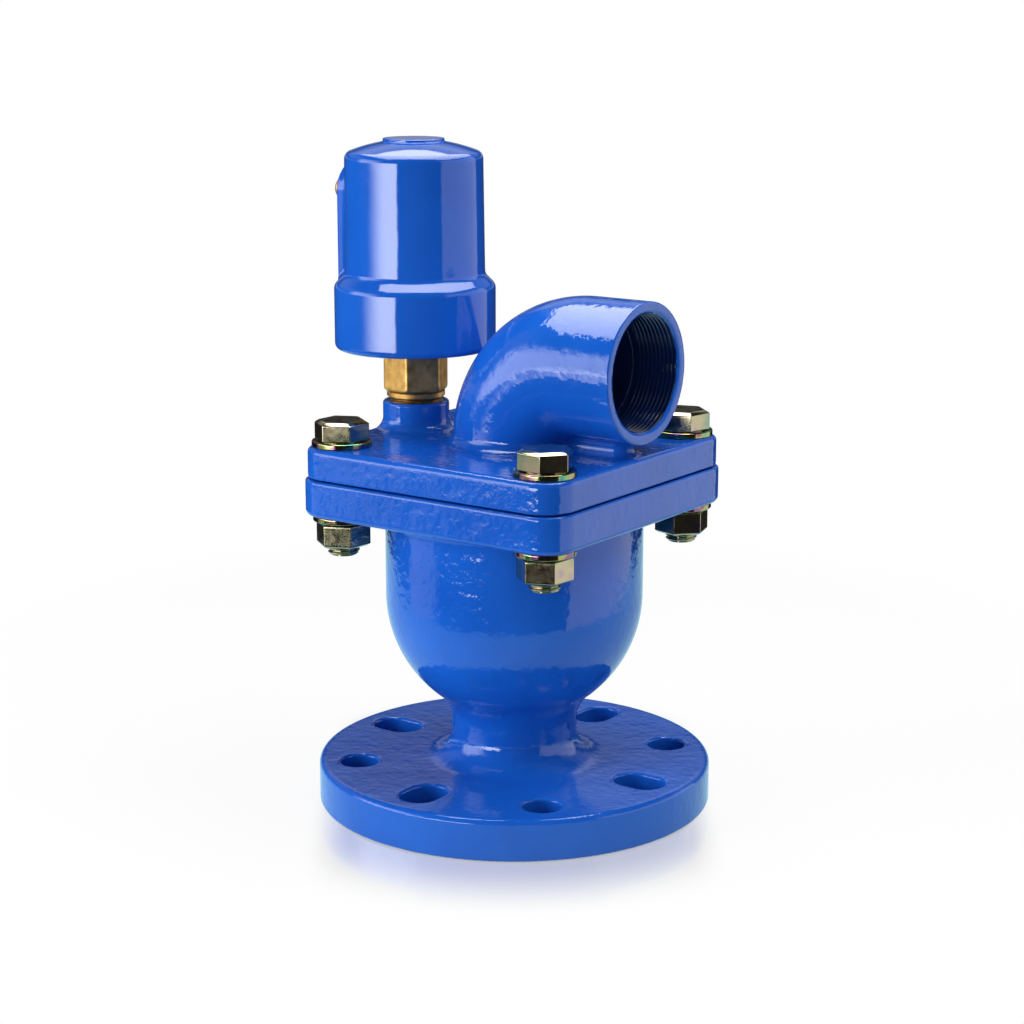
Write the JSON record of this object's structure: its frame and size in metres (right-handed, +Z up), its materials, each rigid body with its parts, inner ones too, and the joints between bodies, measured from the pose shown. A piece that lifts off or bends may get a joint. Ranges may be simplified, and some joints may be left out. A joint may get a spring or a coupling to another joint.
{
  "type": "air release valve",
  "caption": "Blue coated combination air valve: flanged float bowl, square bolted cover with a threaded elbow outlet, and a small vent valve on a brass hexagon.",
  "frame": {"origin": "centre of the inlet flange's face, which stands on the floor", "axes": "+Z up along the bowl's axis, +X along the outlet's axis out of its mouth"},
  "size_m": [0.2099, 0.2, 0.3317],
  "materials": {
    "epoxy_coating": "glossy blue fusion-bonded epoxy on ductile iron",
    "zinc_steel": "yellow passivated zinc plate",
    "brass": "turned brass, slightly tarnished",
    "bronze": "machined bronze",
    "epdm": "moulded black EPDM",
    "float_plastic": "moulded polypropylene",
    "stainless": "pickled stainless steel"
  },
  "bodies": {
    "valve": {"body": "epoxy_coating", "cover": "epoxy_coating", "joint_ring": "epdm", "orifice_seat": "bronze", "seat_seal": "epdm", "float_basket": "stainless", "cover_bolts": "zinc_steel", "head_washers": "zinc_steel", "nut_washers": "zinc_steel", "cover_nuts": "zinc_steel", "vent_housing": "epoxy_coating", "vent_base": "brass", "base_gasket": "epdm", "vent_nozzle": "brass", "nozzle_ring": "epdm", "lever_pin": "stainless", "lever_bracket": "stainless", "bracket_screws": "stainless"},
    "main_float": {"main_float": "float_plastic"},
    "vent_float": {"vent_float": "float_plastic", "float_yoke": "stainless", "yoke_pin": "stainless"},
    "seal_lever": {"seal_lever": "stainless", "seal_pad": "epdm"}
  },
  "joints": [
    {"name": "main_float_rise", "type": "slide", "parent": "valve", "child": "main_float", "axis": [0, 0, 1], "range_m": [0, 0.03]},
    {"name": "vent_float_rise", "type": "slide", "parent": "valve", "child": "vent_float", "axis": [0, 0, 1], "range_m": [0, 0.00355]},
    {"name": "lever_swing", "type": "hinge", "parent": "valve", "child": "seal_lever", "pos_m": [-0.07891, 0, 0.2945], "axis": [0, -1, 0], "range_deg": [0, 12]}
  ],
  "couplings": [
    {"joint": "lever_swing", "follows": "vent_float_rise", "rad_per_m": 58.93}
  ]
}
